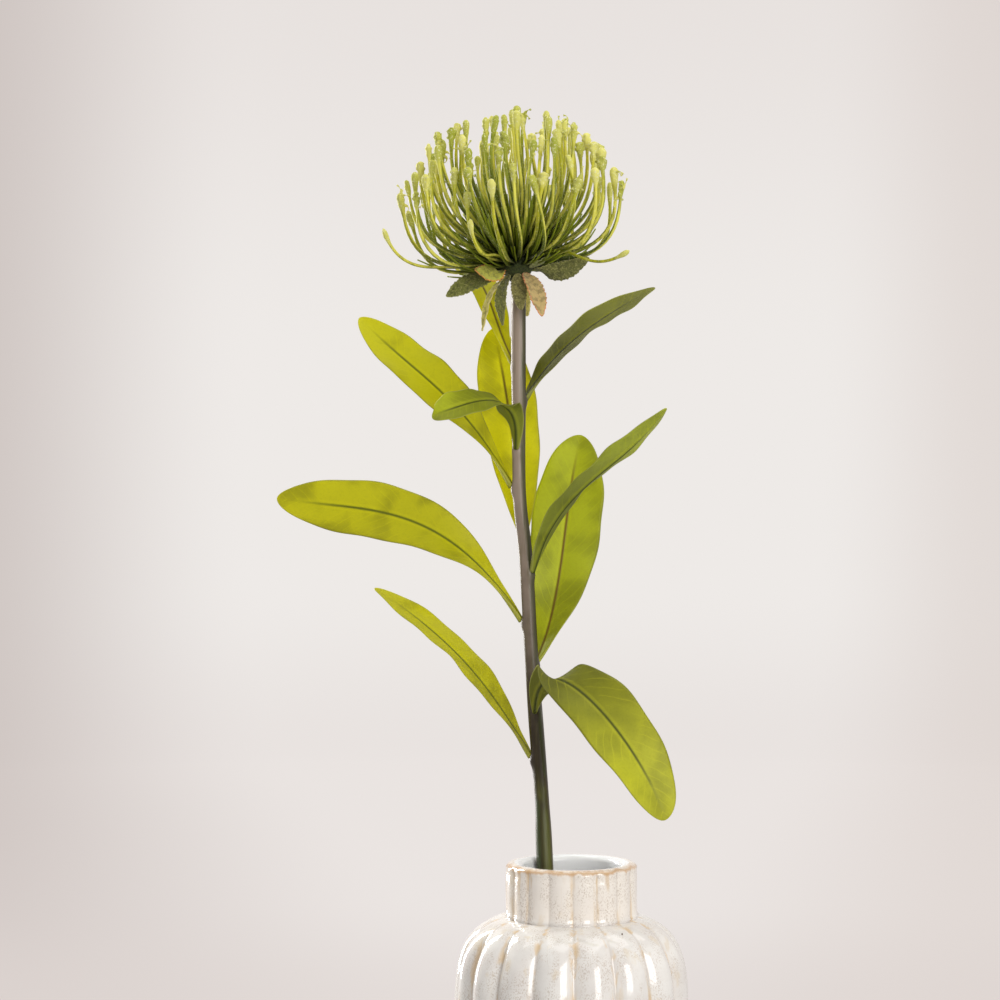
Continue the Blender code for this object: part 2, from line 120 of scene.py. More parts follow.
# Felt colours of the bracts: upper face, under face and rim, as display values
DARK_FELT = ((112, 116, 46), (104, 106, 46), (146, 144, 80))
LIME_FELT = ((206, 204, 82), (198, 196, 80), (240, 130, 60))
GREEN_FELT = ((132, 138, 66), (110, 118, 52), (156, 160, 100))
STRAW_FELT = ((206, 194, 96), (194, 180, 88), (222, 206, 132))
OLIVE_FELT = ((126, 120, 62), (112, 110, 54), (156, 146, 88))
PALE_FELT = ((200, 172, 112), (96, 96, 44), (240, 138, 88))

# Bracts: heading, rise where they start and end, length, width, roll about their own length, felt
UPPER_BRACTS = (
    (186, -10, -24, 31, 11.0, 65, DARK_FELT),
    (217, -18, 14, 19, 10.0, 70, LIME_FELT),
    (345, -28, 22, 31, 10.5, 55, DARK_FELT),
    (318, 2, 24, 13, 7.0, 0, GREEN_FELT),
    (140, 0, -20, 18, 8.0, 0, DARK_FELT),
    (36, 0, 12, 20, 8.0, 0, GREEN_FELT),
    (90, 0, -24, 17, 8.0, 0, OLIVE_FELT),
)
LOWER_BRACTS = (
    (205, -36, -74, 33, 4.5, 20, STRAW_FELT),
    (230, -42, -88, 29, 7.5, 0, DARK_FELT),
    (267, -60, -87, 20, 8.0, 0, OLIVE_FELT),
    (299, -40, -78, 28, 10.0, 0, PALE_FELT),
    (80, -40, -86, 22, 6.0, 0, STRAW_FELT),
)
UPPER_WHORL = (8.6 * MM, -3.4 * MM)       # distance of the roots from the head's axis, and height
LOWER_WHORL = (6.9 * MM, -6.0 * MM)
BRACT_THICKNESS = 0.6 * MM

# Leaf colours: upper side, under side, midrib, and the light that comes through, as display values,
# and how much painted shade darkens the half by the stalk.  The sets are partly lit and shaded copies
# of one leaf: the yellow ones are painted lighter for leaves lit from behind, the deeper green ones
# painted darker for leaves in shade.
BACKLIT_LEAF = ((188, 186, 14), (168, 174, 32), (84, 100, 18), (244, 240, 10), 0.12)
BACKLIT_LIME_LEAF = ((180, 186, 34), (160, 170, 48), (118, 74, 28), (226, 232, 30), 0.15)
SHADED_GREEN_LEAF = ((128, 130, 14), (128, 134, 46), (36, 44, 20), (188, 190, 4), 0.45)
SHADED_OLIVE_LEAF = ((158, 166, 30), (172, 182, 72), (60, 74, 20), (228, 232, 34), 0.55)
SHADED_ARCHED_LEAF = ((188, 190, 48), (158, 170, 56), (60, 74, 20), (248, 246, 60), 0.85)
BACKLIT_REAR_LEAF = ((206, 202, 2), (178, 180, 16), (100, 70, 20), (255, 252, 0), 0.0)

# Leaves: height on the stem, heading of the stalk, the curve's two handles and its tip, the width,
# where the upper side faces at the tip, and the colours.  Most of these numbers are the rounded
# results of a curve fit, as some of STRAY_STYLES are.  STEM above the rim and HEAD_CENTRE are measured
# points, and STYLE_SEED is the only one of 2,599 tried that kept the styles apart.  None of them
# follows from the driving dimensions.
LEAVES = (
    (387.6, 162, (-57, 31, 438), (-80, 44, 445), (-109, 54, 476), 25, (0.5, -0.85, 0.15), BACKLIT_LEAF),
    (406.9, -109, (-24, 10, 448), (-60, -26, 423), (-69, -20, 423), 18, (-0.4, -0.8, 0.45), SHADED_OLIVE_LEAF),
    (432.7, 36, (-6, 41, 461), (12, 58, 473), (46, 70, 493), 22.5, (-0.4, -0.45, 0.8), SHADED_GREEN_LEAF),
    (344.5, -47, (-6, 1, 392), (24, -10, 395), (46, -22, 426), 21, (-0.55, 0.4, 0.75), SHADED_OLIVE_LEAF),
    (319.4, 160, (-66, 35, 384), (-105, 40, 374), (-152, 54, 382), 28, (0.45, -0.9, 0.0), BACKLIT_LEAF),
    (250.5, 156, (-43, 28, 289), (-59, 37, 308), (-101, 50, 335), 21, (0.3, -0.4, 0.85), BACKLIT_LEAF),
    (273.9, -93, (-17, -20, 323), (35, -42, 261), (44, -40, 226), 31, (0.2, -0.9, 0.4), SHADED_ARCHED_LEAF),
    (298.4, 52, (-2, 40, 332), (-3, 51, 379), (7, 64, 415), 35, (0.0, -1.0, 0.1), BACKLIT_LIME_LEAF),
    (360.5, 97, (-26, 42, 396), (-32, 49, 438), (-39, 61, 471), 28, (0.0, -1.0, 0.2), BACKLIT_REAR_LEAF),
    (449.7, 127, (-44, 48, 486), (-39, 72, 496), (-64, 101, 513), 17, (0.35, -0.9, 0.2), BACKLIT_REAR_LEAF),
)
LEAF_THICKNESS = 0.8 * MM
LEAF_STALK_WIDTH = 2.6 * MM
LEAF_TAPER = 0.62                         # how bluntly the width closes at the tip
LEAF_FULLEST = 0.617 * 0.383 ** LEAF_TAPER    # what makes the widest place 1


# Curves and arrays -------------------------------------------------------------------------------

def smoothstep(start, end, value):
    """Rise from 0 at start to 1 at end with level ends: s * s * (3 - 2 s) of the clipped share."""
    share = np.clip((value - start) / (end - start), 0.0, 1.0)
    return share * share * (3.0 - 2.0 * share)


def bump_at(place, width, value):
    """A bell of height 1: e to the power of minus the square of the distance from place in widths."""
    return np.exp(-((value - place) / width) ** 2)


def unit(vectors):
    """Divide vectors by their lengths."""
    return vectors / np.linalg.norm(vectors, axis=-1, keepdims=True)


def dot(first, second):
    """Sum of the products of the parts of two vectors, kept as a last axis of one."""
    return (first * second).sum(axis=-1, keepdims=True)


def smooth_through(points, per_span):
    """Catmull-Rom curve: between two points, a cubic whose end slopes follow their neighbours."""
    points = np.asarray(points, dtype=float)
    ends = np.vstack((2 * points[0] - points[1], points, 2 * points[-1] - points[-2]))
    before, start, end, after = (ends[first:len(ends) - 3 + first, None] for first in range(4))
    share = (np.arange(per_span) / per_span)[:, None]
    spans = 0.5 * (2 * start + (end - before) * share
                   + (2 * before - 5 * start + 4 * end - after) * share ** 2
                   + (3 * start - before - 3 * end + after) * share ** 3)
    return np.vstack((spans.reshape(-1, points.shape[1]), points[-1:]))


def at_shares(path, shares):
    """Points of a path at shares of its length, in a straight line between its own points."""
    place = np.asarray(shares) * (path.shape[-2] - 1)
    low = np.minimum(place.astype(int), path.shape[-2] - 2)
    part = (place - low)[:, None]
    return path[..., low, :] * (1 - part) + path[..., low + 1, :] * part


def head_frame():
    """The head's own X, Y and Z directions as the columns of a matrix."""
    side = unit(np.cross((0.0, 1.0, 0.0), HEAD_AXIS))
    return np.stack((side, np.cross(HEAD_AXIS, side), HEAD_AXIS), axis=1)


def head_to_world(points):
    """Turn points by the head's frame and add the head's centre."""
    return HEAD_CENTRE + points @ head_frame().T


def polar_direction(polar, heading):
    """Unit vectors at a polar angle and a heading: sine times the heading's direction, cosine up."""
    return np.stack((np.sin(polar) * np.cos(heading), np.sin(polar) * np.sin(heading),
                     np.cos(polar) + 0.0 * heading), axis=-1)


# Meshes ------------------------------------------------------------------------------------------

def level_direction(heading):
    """Level unit vectors of a heading."""
    return polar_direction(0.5 * math.pi, heading)


def full_turn(count):
    """Angles of a number of equal steps round a circle."""
    return np.linspace(0.0, 2 * math.pi, count, endpoint=False)


def step_middles(count):
    """Shares of a path at the middles of a number of equal steps."""
    return (np.arange(count) + 0.5) / count


def walk(start, moves, length):
    """Points of a path that leaves its start along moves, which split its length evenly."""
    steps = np.cumsum(moves * length / moves.shape[-2], axis=-2)
    return start + np.concatenate((np.zeros_like(steps[..., :1, :]), steps), axis=-2)


def rings_round(path, radius, sides, reference):
    """Circles about a path: centre + radius * (cos * normal + sin * binormal).

    The normal is the reference direction made square to the path, and the binormal is square to
    both.  The radius is given for each point of the path, or for each point of each circle.
    """
    along = unit(np.gradient(path, axis=-2))
    normal = unit(reference - dot(reference, along) * along)
    binormal = np.cross(along, normal)
    turn = full_turn(sides)[:, None]
    spokes = np.cos(turn) * normal[..., None, :] + np.sin(turn) * binormal[..., None, :]
    return path[..., None, :] + np.asarray(radius)[..., None] * spokes


def add_ends(values):
    """Flatten values given by tube, ring and point, and add each tube's two end values."""
    ends = values[:, (0, -1)].mean(axis=2)
    return np.concatenate((values.reshape(len(values), -1, *values.shape[3:]), ends), axis=1)


def tube_faces(tubes, rows, sides):
    """Quads between neighbouring rings, and a fan of triangles to the middle of each end ring."""
    corner = np.arange(rows * sides).reshape(rows, sides)
    following = np.roll(corner, -1, axis=1)
    quads = np.stack((corner[:-1], following[:-1], following[1:], corner[1:]), axis=-1)
    start = np.full(sides, rows * sides)
    fans = np.stack((np.stack((start, following[0], corner[0]), axis=-1),
                     np.stack((start + 1, corner[-1], following[-1]), axis=-1)))
    shift = (np.arange(tubes) * (rows * sides + 2))[:, None, None]
    return (quads.reshape(1, -1, 4) + shift).reshape(-1, 4), (fans.reshape(1, -1, 3) + shift).reshape(-1, 3)


def new_mesh(name, tubes, attributes):
    """Make one closed mesh from tubes.

    tubes is a list of arrays of tube, ring, point and x, y, z.  attributes gives, for each name, a
    list with an array of tube, ring and point for each of them.
    """
    places = [add_ends(rings).reshape(-1, 3) for rings in tubes]
    starts = np.cumsum([0] + [len(rows) for rows in places])
    faces = [tube_faces(*rings.shape[:3]) for rings in tubes]
    quads = np.vstack([four + start for (four, three), start in zip(faces, starts)])
    fans = np.vstack([three + start for (four, three), start in zip(faces, starts)])
    loops = np.concatenate((quads.ravel(), fans.ravel()))
    loop_starts = np.concatenate((np.arange(len(quads)) * 4, quads.size + np.arange(len(fans)) * 3))
    mesh = bpy.data.meshes.new(name)
    mesh.vertices.add(starts[-1])
    mesh.vertices.foreach_set("co", np.vstack(places).ravel())
    mesh.loops.add(len(loops))
    mesh.loops.foreach_set("vertex_index", loops)
    mesh.polygons.add(len(loop_starts))
    mesh.polygons.foreach_set("loop_start", loop_starts)
    mesh.update(calc_edges=True)
    mesh.validate()
    for key, arrays in attributes.items():
        shaped = [np.broadcast_to(values, rings.shape[:3]) for values, rings in zip(arrays, tubes)]
        layer = mesh.attributes.new(key, "FLOAT", "POINT")
        layer.data.foreach_set("value", np.concatenate([add_ends(rows).ravel() for rows in shaped]))
    mesh.shade_smooth()
    return mesh


def add_piece(name, tubes, attributes, material, slot, *nodes):
    """Make a piece that rides on the one body and stands for the named solids."""
    mesh = new_mesh(name, tubes, attributes)
    mesh.materials.append(material)
    piece = bpy.data.objects.new(name, mesh)
    bpy.context.scene.collection.objects.link(piece)
    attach(piece, "root")
    if nodes:
        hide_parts(*nodes)
    return piece


# Materials ---------------------------------------------------------------------------------------

def display(red, green, blue):
    """Turn display values of 0 to 255 into a linear colour: the usual 2.4 power above the toe."""
    shares = np.array((red, green, blue)) / 255.0
    linear = np.where(shares > 0.04045, ((shares + 0.055) / 1.055) ** 2.4, shares / 12.92)
    return (*linear.tolist(), 1.0)


class Amount:
    """A node's output that takes part in sums: an expression on amounts adds its Math nodes."""

    def __init__(self, finish, output):
        self.finish = finish
        self.output = output

    def __add__(self, other):
        return self.finish.maths("ADD", self, other)

    def __sub__(self, other):
        return self.finish.maths("SUBTRACT", self, other)

    def __rsub__(self, other):
        return self.finish.maths("SUBTRACT", other, self)

    def __mul__(self, other):
        return self.finish.maths("MULTIPLY", self, other)

    def __pow__(self, other):
        return self.finish.maths("POWER", self, other)

    __radd__ = __add__
    __rmul__ = __mul__


class Finish:
    """The nodes of one material, and short names for the patterns that the materials share."""

    def __init__(self, name):
        self.material = bpy.data.materials.new(name)
        self.material.use_nodes = True
        self.tree = self.material.node_tree
        self.tree.nodes.clear()
        self.place = self.node("ShaderNodeTexCoord", {}, {}, "Object")

    def node(self, kind, settings, sockets, output=0):
        """Add a node, make its settings, then give its sockets their values or links.

        It returns the named output, or nothing for the node that ends the material.
        """
        node = self.tree.nodes.new(kind)
        for key, value in settings.items():
            setattr(node, key, value)
        for key, value in sockets.items():
            if isinstance(value, Amount):
                self.tree.links.new(value.output, node.inputs[key])
            else:
                node.inputs[key].default_value = value
        return Amount(self, node.outputs[output]) if node.outputs else None

    def maths(self, operation, first, second):
        """One Math node."""
        return self.node("ShaderNodeMath", {"operation": operation}, {0: first, 1: second})

    def axes(self):
        """The place's x, y and z."""
        return (self.node("ShaderNodeSeparateXYZ", {}, {0: self.place}, axis) for axis in "XYZ")

    def attribute(self, name):
        """The number that the mesh carries under a name."""
        return self.node("ShaderNodeAttribute", {"attribute_name": name}, {}, "Fac")

    def noise(self, size, detail=2.0, stretch=(1.0, 1.0, 1.0)):
        """Cloudy noise with lumps of about a size, drawn out along the axes by stretch."""
        scale = tuple(1.0 / part for part in stretch)
        place = self.node("ShaderNodeMapping", {}, {"Vector": self.place, "Scale": scale})
        sockets = {"Vector": place, "Scale": 1.0 / size, "Detail": detail}
        return self.node("ShaderNodeTexNoise", {}, sockets, "Fac")

    def rise(self, value, low, high):
        """0 below low, 1 above high and a smooth step between them."""
        sockets = {"Value": value, "From Min": low, "From Max": high}
        return self.node("ShaderNodeMapRange", {"interpolation_type": "SMOOTHSTEP"}, sockets)

    def line_at(self, value, middle, width):
        """1 where value is at middle, falling to 0 at a width from it."""
        distance = self.node("ShaderNodeMath", {"operation": "ABSOLUTE"}, {0: value - middle})
        return 1.0 - self.rise(distance, 0.0, width)

    def blend(self, share, first, second):
        """Mix two colours by a share of the second."""
        return self.node("ShaderNodeMix", {"data_type": "RGBA"}, {0: share, 6: first, 7: second}, 2)

    def coats(self, base, *layers):
        """Lay display colours over a base one after the other, each by a share of its own."""
        for share, colour in layers:
            base = self.blend(share, base, display(*colour))
        return base

    def bump(self, height, depth, strength=1.0):
        """Surface normals of a relief that is depth high where height goes from 0 to 1."""
        sockets = {"Height": height, "Distance": depth, "Strength": strength}
        return self.node("ShaderNodeBump", {}, sockets)

    def surface(self, sockets):
        """The main shader."""
        return self.node("ShaderNodeBsdfPrincipled", {}, sockets)

    def done(self, shader):
        """Join the shader to the output and return the material."""
        self.node("ShaderNodeOutputMaterial", {}, {"Surface": shader})
        return self.material

    def finished(self, base, roughness, others):
        """The finished material: the main shader with a base colour, a roughness and other values."""
        return self.done(self.surface({"Base Color": base, "Roughness": roughness, **others}))


def glaze():
    """Pearly off-white glaze: speckled on the ribs, amber where it runs thin in the grooves.

    Painted shade darkens the bottom of each groove, and painted light partly brightens the neck.
    """
    finish = Finish("pearl_glaze")
    groove = finish.attribute("groove")
    outside = finish.attribute("outside")
    sideways, depth, height = finish.axes()
    clouds = finish.noise(14 * MM, 4.0)
    runs = finish.noise(4 * MM, 3.0, (1.0, 1.0, 9.0))
    grains = finish.noise(0.60 * MM, 2.0, (1.0, 1.0, 1.5))
    patches = finish.rise(finish.noise(7 * MM, 3.0, (1.0, 1.0, 2.2)), 0.38, 0.60)
    speckle = finish.rise(grains, 0.50, 0.62) * patches
    blotches = finish.rise(finish.noise(8 * MM, 3.0, (1.0, 1.0, 2.0)), 0.58, 0.70)
    # Painted shade: a grey line darkens the bottom of each groove, where shade falls.
    groove_shade = finish.rise(groove, 0.86, 1.0)
    thin_glaze = finish.rise(groove, 0.62, 0.95) * finish.rise(runs, 0.47, 0.62)
    lip_edge = finish.line_at(height + 4.0 * MM * runs, VASE_HEIGHT + 0.8 * MM, 1.6 * MM)
    drips = finish.rise(runs, 0.56, 0.66) * finish.rise(height, 176 * MM, 196 * MM)
    pit = (finish.line_at(sideways, 23.6 * MM, 0.5 * MM) * finish.line_at(height, 170.0 * MM, 0.5 * MM)
           * (1.0 - finish.rise(depth, -10 * MM, 0.0)))
    base = finish.blend(finish.rise(clouds, 0.3, 0.7), display(245, 241, 235), display(234, 228, 222))
    base = finish.coats(
        base,
        # Partly painted light: the neck is painted lighter, for light it gets too little of, and warmer, the
        # glaze's own tone there.
        (finish.rise(height, 172 * MM, 178 * MM) * 0.7, (254, 244, 232)),
        (speckle * 0.50, (188, 170, 150)),
        (blotches * 0.35, (224, 202, 164)),
        (groove_shade * 0.35, (190, 176, 162)),
        (thin_glaze * 0.70, (226, 192, 140)),
        (drips * 0.55, (218, 186, 142)),
        (lip_edge * 0.80, (206, 160, 108)),
        (finish.rise(pit, 0.05, 0.3), (96, 74, 58)),
    )
    base = finish.blend(outside, display(252, 252, 253), base)
    relief = finish.bump(clouds + 0.08 * grains, 0.40 * MM, 0.5)
    return finish.finished(base, 0.10 + 0.12 * speckle, {
        "Normal": relief, "IOR": 1.55, "Coat Weight": 0.4, "Coat Roughness": 0.05,
    })


def stem_skin():
    """Stem paint: mauve-brown with long green streaks up one side and olive low down, and painted shade on
    its edges and back.
    """
    finish = Finish("stem_skin")
    around = finish.attribute("green_side")
    height = finish.node("ShaderNodeSeparateXYZ", {}, {0: finish.place}, "Z")
    streaks = finish.noise(2.2 * MM, 3.0, (1.0, 1.0, 14.0))
    fibres = finish.noise(0.5 * MM, 2.0, (1.0, 1.0, 30.0))
    mottle = finish.noise(7 * MM, 3.0)
    high = finish.rise(height + 0.05 * mottle, 0.27, 0.43)
    green = finish.rise(around + 0.5 * streaks, 0.75, 1.15)
    low = 1.0 - finish.rise(height + 0.03 * mottle, 0.225, 0.265)
    # Painted shade: the stem is darkened away from the side that faces the front.
    painted_flank_shade = 1.0 - finish.rise(finish.attribute("front"), 0.55, 0.98)
    base = finish.coats(
        finish.blend(high, display(48, 38, 12), display(160, 142, 126)),
        (finish.rise(streaks, 0.5, 0.7) * 0.4, (104, 94, 62)),
        (green * 0.85, (58, 72, 28)),
        (low * (1.0 - finish.rise(around, 0.2, 0.8)) * 0.7, (98, 104, 22)),
        (painted_flank_shade * 0.70, (58, 44, 32)),
    )
    relief = finish.bump(0.6 * streaks + 0.4 * fibres, 0.20 * MM, 0.6)
    return finish.finished(base, 0.30 + 0.16 * mottle, {"Normal": relief, "Specular IOR Level": 0.35})


def receptacle_skin():
    """Dark green felt at the heart of the head."""
    finish = Finish("receptacle_felt")
    fluff = finish.noise(0.8 * MM, 3.0)
    base = finish.blend(finish.rise(fluff, 0.3, 0.7), display(34, 42, 10), display(62, 72, 20))
    return finish.finished(base, 0.85, {"Normal": finish.bump(fluff, 0.4 * MM)})


def style_skin():
    """Moulded styles: dark green at the foot, yellow-green along the shaft, a pale flocked club.

    The dark foot is partly painted shade and the pale top partly painted light; the stripe up each shaft and
    the flecks on the club are painted highlights.
    """
    finish = Finish("style_skin")
    along = finish.attribute("along")
    tone = finish.attribute("tone")
    # Painted highlight: a pale yellow stripe runs up one side of each shaft.
    shaft_highlight = finish.rise(finish.attribute("shaft_highlight"), 0.55, 0.90)
    club = finish.rise(along, 0.84, 0.91)
    streaks = finish.noise(3.0 * MM, 2.0, (1.0, 1.0, 5.0))
    flock_and_glints = finish.noise(0.9 * MM, 3.0)
    # Partly painted shade and light: the dark green foot, deep in the head, is partly painted shade, and the
    # paler upper part and club are partly painted light.
    shaft = finish.blend(tone, display(78, 94, 2), display(138, 140, 6))
    upper = finish.blend(tone, display(142, 152, 14), display(212, 204, 42))
    base = finish.blend(finish.rise(along, 0.08, 0.56), display(30, 42, 2), shaft)
    base = finish.blend(finish.rise(along, 0.45, 0.85), base, upper)
    base = finish.coats(
        base,
        (shaft_highlight * finish.rise(along, 0.05, 0.45) * 0.75, (246, 238, 96)),
        (finish.rise(streaks, 0.46, 0.68) * 0.45, (74, 90, 10)),
    )
    ends = finish.blend(tone, display(170, 176, 56), display(244, 238, 140))
    base = finish.blend(club * 0.8, base, ends)
    # Painted highlights: pale flecks on the flock, most on the club, stand in for glints; the same noise also
    # makes the flock's relief.
    base = finish.blend(finish.rise(flock_and_glints, 0.54, 0.68) * (0.25 + 0.5 * club), base,
                        display(244, 240, 190))
    relief = finish.bump(flock_and_glints * (0.25 + 0.75 * club), 0.35 * MM, 0.8)
    return finish.finished(base, 0.40 + 0.30 * club, {"Normal": relief, "Specular IOR Level": 0.3})


def thread_skin():
    """Dark threads between the feet of the styles."""
    finish = Finish("thread_skin")
    along = finish.attribute("along")
    patch = finish.noise(3 * MM, 1.0)
    base = finish.blend(finish.rise(along + 0.5 * patch, 0.35, 1.2), display(26, 38, 2),
                        display(134, 146, 18))
    return finish.finished(base, 0.5, {"Specular IOR Level": 0.3})


def felt(name, colours):
    """Felt for a bract: two faces, a rim of another colour and short pressed fibres."""
    upper_colour, under_colour, rim_colour = (display(*colour) for colour in colours)
    finish = Finish(name)
    upper = finish.attribute("upper")
    margin = finish.attribute("margin")
    patches = finish.noise(2.2 * MM, 3.0)
    fibres = finish.noise(0.8 * MM, 3.0)
    base = finish.blend(finish.rise(upper, 0.3, 0.7), under_colour, upper_colour)
    shade = (*[0.35 * part for part in upper_colour[:3]], 1.0)
    base = finish.blend(finish.rise(patches, 0.46, 0.62) * 0.60, base, shade)
    base = finish.blend(finish.rise(fibres, 0.48, 0.68) * 0.42, base, display(190, 182, 112))
    rim = 1.0 - finish.rise(margin + 1.2 * patches, 0.6, 1.5)
    base = finish.blend(rim * 0.85, base, rim_colour)
    relief = finish.bump(0.6 * fibres + 0.4 * patches, 0.45 * MM, 1.0)
    return finish.finished(base, 0.80 + 0.15 * fibres, {"Normal": relief, "Sheen Weight": 0.15})


def leaf_skin(name, colours):
    """Leaf: two sides, a midrib that fades out, faint side veins, a pale rim, light coming through."""
    upper_colour, under_colour, midrib_colour, light_colour = (display(*row) for row in colours[:4])
    finish = Finish(name)
    along = finish.attribute("along")
    reach = finish.attribute("reach")
    margin = finish.attribute("margin")
    upper = finish.rise(finish.attribute("upper"), 0.4, 0.6)
    clouds = finish.noise(18 * MM, 2.0)
    grain = finish.noise(1.1 * MM, 3.0)
    shadow = (*[0.42 * part for part in upper_colour[:3]], 1.0)
    near = 1.0 - finish.rise(along + 0.4 * clouds, 0.45, 1.0)
    dim = finish.rise(clouds, 0.44, 0.68) * 0.32 + near * colours[4]
    base = finish.blend(upper, under_colour, upper_colour)
    base = finish.blend(dim, base, shadow)
    base = finish.blend(finish.rise(grain, 0.45, 0.72) * 0.16, base, midrib_colour)
    bands = finish.node("ShaderNodeMath", {"operation": "PINGPONG"},
                        {0: along * 19.0 - reach * 0.20 + 1.2 * clouds, 1: 0.5})
    veins = (1.0 - finish.rise(bands, 0.0, 0.10)) * finish.rise(margin, 0.4, 3.5)
    veins = veins * finish.rise(clouds, 0.36, 0.60)
    base = finish.blend(veins * 0.28, base, light_colour)
    fade = 1.0 - finish.rise(along, 0.70, 0.97)
    midrib = (1.0 - finish.rise(reach, 0.15, 0.95)) * fade
    base = finish.blend(midrib * 0.85, base, midrib_colour)
    beside = finish.line_at(reach, 1.5, 1.1) * fade
    base = finish.blend(beside * 0.22, base, light_colour)
    rim = 1.0 - finish.rise(margin, 0.15, 0.75)
    base = finish.blend(rim * 0.60, base, display(206, 208, 112))
    glow = finish.blend(midrib * 0.75, light_colour, midrib_colour)
    glow = finish.blend(dim, glow, shadow)
    relief = finish.bump(0.25 * veins + midrib + 0.25 * grain, 0.20 * MM, 0.7)
    front = finish.surface({
        "Base Color": base,
        "Roughness": 0.40 + 0.16 * grain,
        "Normal": relief,
        "Specular IOR Level": 0.35,
    })
    behind = finish.node("ShaderNodeBsdfTranslucent", {}, {"Color": glow, "Normal": relief})
    return finish.done(finish.node("ShaderNodeMixShader", {}, {0: 0.42, 1: front, 2: behind}))


def backdrop_paint():
    """Pale warm paper that glows, dimmer at the sides and low down, with a painted shadow where the vase
    stands.
    """
    finish = Finish("pale_paper")
    across, depth, height = finish.axes()
    cloud = finish.noise(1.6, 1.0)
    base = finish.blend(cloud, display(20, 19, 19), display(26, 25, 25))
    light = finish.blend(finish.rise(height, -0.05, 0.25), display(230, 224, 221), display(237, 233, 230))
    left = 1.0 - finish.rise(across + 0.2 * depth, -0.40, 0.14)
    right = finish.rise(across - 0.2 * depth, -0.10, 0.22)
    near = 1.0 - finish.rise(depth, 0.55, 1.15)
    distance = finish.node("ShaderNodeVectorMath", {"operation": "LENGTH"}, {0: finish.place}, "Value")
    # Painted shadow: the floor is darkened close to the vase.
    painted_contact_shadow = 1.0 - finish.rise(distance, 0.02, 0.12)
    light = finish.coats(
        light,
        (finish.rise(height, 0.6, 1.3) * 0.6, (226, 219, 216)),
        (left * 0.90, (200, 190, 186)),
        (right * 0.60, (216, 206, 201)),
        (near * 0.50, (216, 207, 203)),
        (painted_contact_shadow * 0.55, (140, 130, 124)),
    )
    return finish.finished(base, 0.9, {
        "Specular IOR Level": 0.1, "Emission Color": light, "Emission Strength": 1.0,
    })


# Vase --------------------------------------------------------------------------------------------

def belly_radius(height, widest, top):
    """Outline of the body.

    Above the widest level it is widest * (1 - rise ** 3) ** (1 / 4.3), a squarish shoulder, and
    below it falls to the foot with the power 2.4 of the drop.
    """
    rise = np.clip((height - BELLY_HEIGHT) / (top - BELLY_HEIGHT), 0.0, 1.0)
    drop = np.clip((BELLY_HEIGHT - height) / BELLY_HEIGHT, 0.0, 1.0)
    foot = widest - BELLY_RADIUS + FOOT_RADIUS + FOOT_CHAMFER
    shoulder = widest * (1.0 - rise ** 3.0) ** (1.0 / 4.3)
    return np.where(drop > 0.0, widest - (widest - foot) * drop ** 2.4, shoulder)


def vase_outline():
    """Radius and height along the vase's wall, from the foot's middle over the rim to the floor."""
    corner = np.linspace(0.0, 0.5 * math.pi, 6)
    foot = np.linspace(0.1, 1.0, 5, endpoint=False) * (FOOT_RADIUS - FOOT_CHAMFER)
    crowded = 1.0 - (1.0 - np.linspace(0.0, 1.0, 30)) ** 2
    body = np.concatenate((np.linspace(2.0, 148.0, 38), 150.0 + 23.1 * crowded)) * MM
    neck = np.linspace(173.9, (VASE_HEIGHT - LIP_HEIGHT) / MM - 0.4, 20) * MM
    turn = np.linspace(0.0, math.pi, 21)
    lip_middle = 0.5 * (NECK_RADIUS + MOUTH_RADIUS)
    lip_half = 0.5 * (NECK_RADIUS - MOUTH_RADIUS)
    throat = np.linspace(194.5, 173.0, 10) * MM
    inside = np.linspace(168.0, VASE_FLOOR / MM + 4.0, 34) * MM
    inner_foot = FOOT_RADIUS - VASE_WALL
    floor = np.linspace(1.0, 0.1, 5) * (inner_foot - 5.0 * MM)
    runs = (
        (foot, 0.0 * foot),
        (FOOT_RADIUS - FOOT_CHAMFER * (1.0 - np.sin(corner)), FOOT_CHAMFER * (1.0 - np.cos(corner))),
        (belly_radius(body, BELLY_RADIUS, SHOULDER_TOP), body),
        (NECK_RADIUS + 0.9 * MM * bump_at(173.4 * MM, 1.2 * MM, neck)
         - 0.25 * MM * bump_at(195.0 * MM, 1.6 * MM, neck), neck),
        (lip_middle + lip_half * np.cos(turn), VASE_HEIGHT - LIP_HEIGHT + LIP_HEIGHT * np.sin(turn)),
        (MOUTH_RADIUS + 1.4 * MM * smoothstep(195 * MM, 173 * MM, throat), throat),
        (belly_radius(inside, BELLY_RADIUS - VASE_WALL, SHOULDER_TOP - VASE_WALL), inside),
        (inner_foot - 4.0 * MM * (1.0 - np.cos(corner)), VASE_FLOOR + 3.0 * MM * (1.0 - np.sin(corner))),
        (floor, VASE_FLOOR + 0.0 * floor),
    )
    return np.hstack([np.stack(run) for run in runs])


def groove_depth(height):
    """Depth of the grooves between the ribs: shallow on the neck, deep on the belly, none at the foot."""
    neck = NECK_RIB_DEPTH * (1.0 - smoothstep(196.5 * MM, 199.5 * MM, height))
    belly = RIB_DEPTH * (1.0 - smoothstep(155 * MM, 173 * MM, height)) + NECK_RIB_DEPTH
    return np.where(height > SHOULDER_TOP - 1 * MM, neck, belly * smoothstep(0.0, 30 * MM, height))


